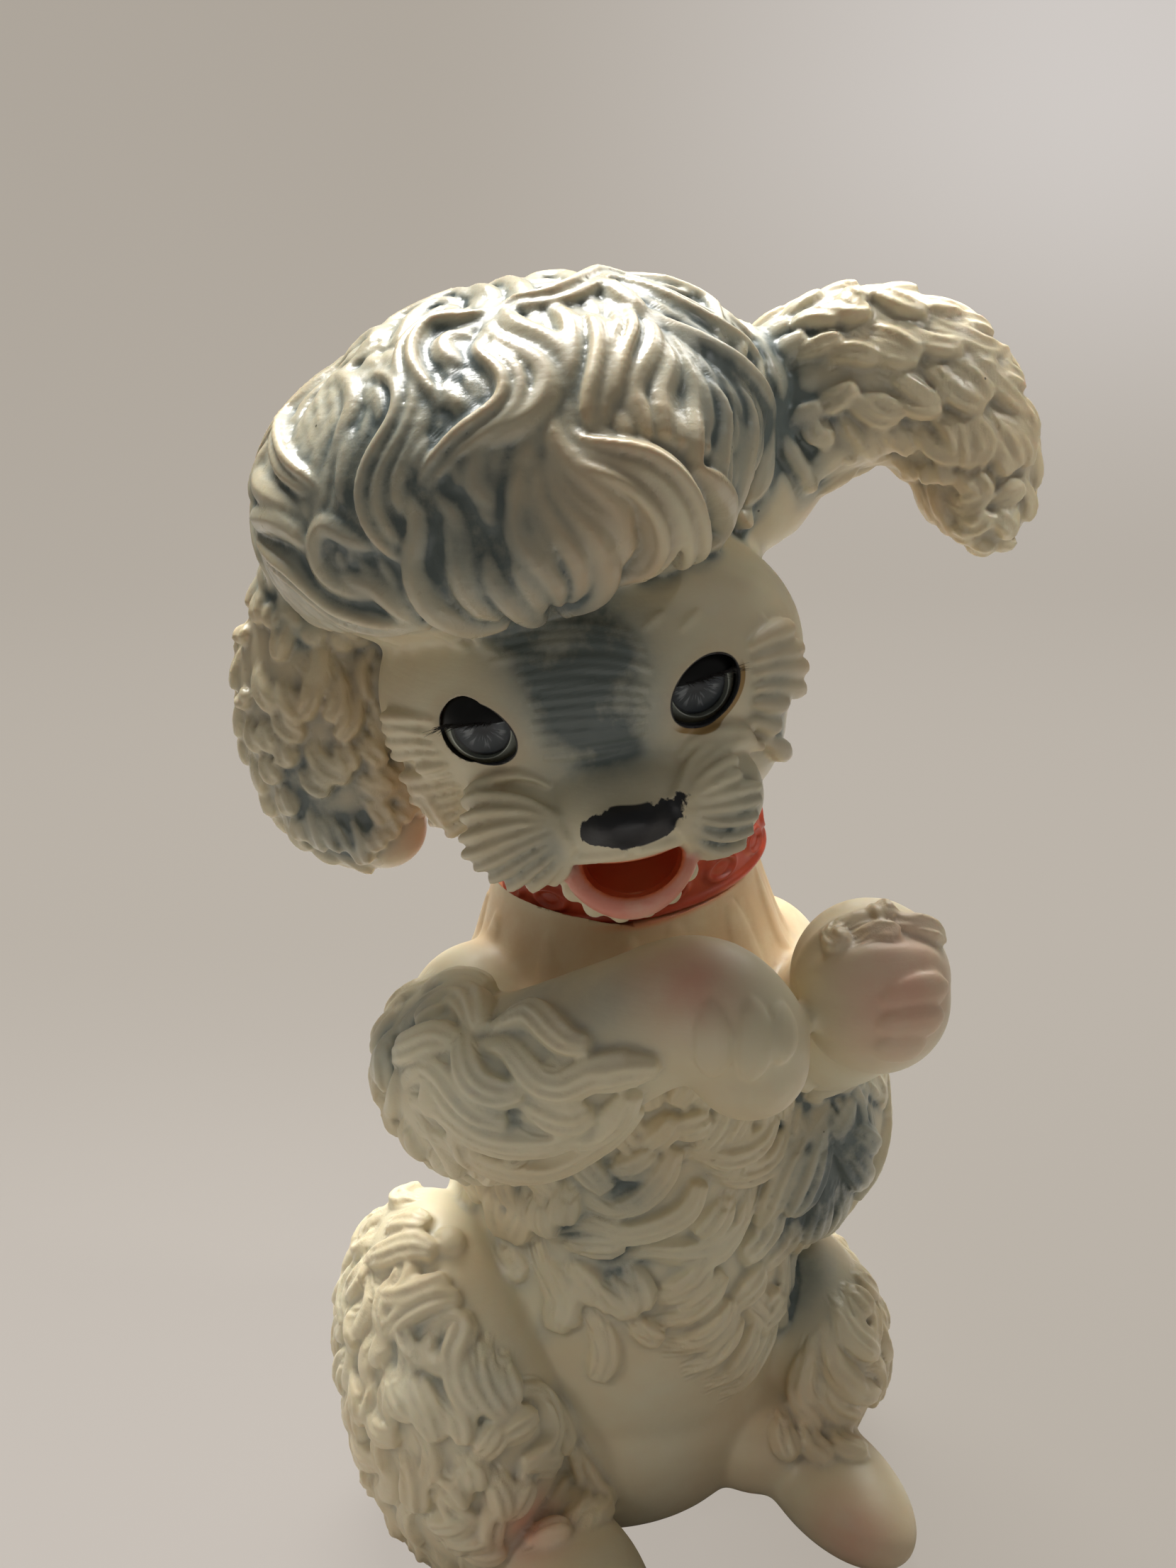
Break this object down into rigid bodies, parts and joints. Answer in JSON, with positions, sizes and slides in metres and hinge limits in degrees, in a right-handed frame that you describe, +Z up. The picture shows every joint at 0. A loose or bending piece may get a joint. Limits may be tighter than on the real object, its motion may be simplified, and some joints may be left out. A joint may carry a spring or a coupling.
{
  "type": "rubber squeak toy",
  "caption": "Begging poodle figure in soft vinyl with a turning head, weighted sleep eyes, a studded collar and a reed squeaker in its flat base.",
  "frame": {"origin": "on the flat sole, under the neck and in front of the squeaker", "axes": "+Z up along the toy's height, -Y out of its chest, +X towards its own left"},
  "size_m": [0.1344, 0.1231, 0.2461],
  "materials": {
    "body_vinyl": "satin",
    "head_vinyl": "satin",
    "collar_vinyl": "satin",
    "squeaker_metal": "satin",
    "reed_brass": "satin",
    "cup_plastic": "matte",
    "eye_plastic": "gloss",
    "iris_foil": "gloss",
    "lens_clear": "clear gloss",
    "lid_black": "gloss",
    "lash_black": "matte",
    "pin_steel": "plain",
    "weight_iron": "plain"
  },
  "bodies": {
    "body": {"body_shell": "body_vinyl", "collar": "collar_vinyl", "squeaker_body": "squeaker_metal", "squeaker_cap": "squeaker_metal"},
    "head": {"head_shell": "head_vinyl", "eye_cup_left": "cup_plastic", "eye_cup_right": "cup_plastic"},
    "eye_left": {"eyeball_left": "eye_plastic", "iris_left": "iris_foil", "lens_left": "lens_clear", "eyelid_left": "lid_black", "lashes_left": "lash_black", "eye_pin_left": "pin_steel", "counterweight_left": "weight_iron"},
    "eye_right": {"eyeball_right": "eye_plastic", "iris_right": "iris_foil", "lens_right": "lens_clear", "eyelid_right": "lid_black", "lashes_right": "lash_black", "eye_pin_right": "pin_steel", "counterweight_right": "weight_iron"},
    "reed": {"squeaker_reed": "reed_brass"}
  },
  "joints": [
    {"name": "head_turn", "type": "hinge", "parent": "body", "child": "head", "pos_m": [0, -0.004, 0.146], "axis": [-0.2079, 0, 0.9781], "continuous": true},
    {"name": "eye_left_close", "type": "hinge", "parent": "head", "child": "eye_left", "pos_m": [-0.00971, -0.04218, 0.18309], "axis": [0.9686, -0.1392, 0.2059], "range_deg": [0, 38]},
    {"name": "eye_right_close", "type": "hinge", "parent": "head", "child": "eye_right", "pos_m": [-0.03866, -0.029, 0.17694], "axis": [0.7493, -0.6428, 0.1593], "range_deg": [0, 38]},
    {"name": "reed_bend", "type": "hinge", "parent": "body", "child": "reed", "pos_m": [-0.006, 0.017, 0.0125], "axis": [0, -1, 0], "range_deg": [0, 4], "stiffness_Nm_per_rad": 0.02}
  ]
}
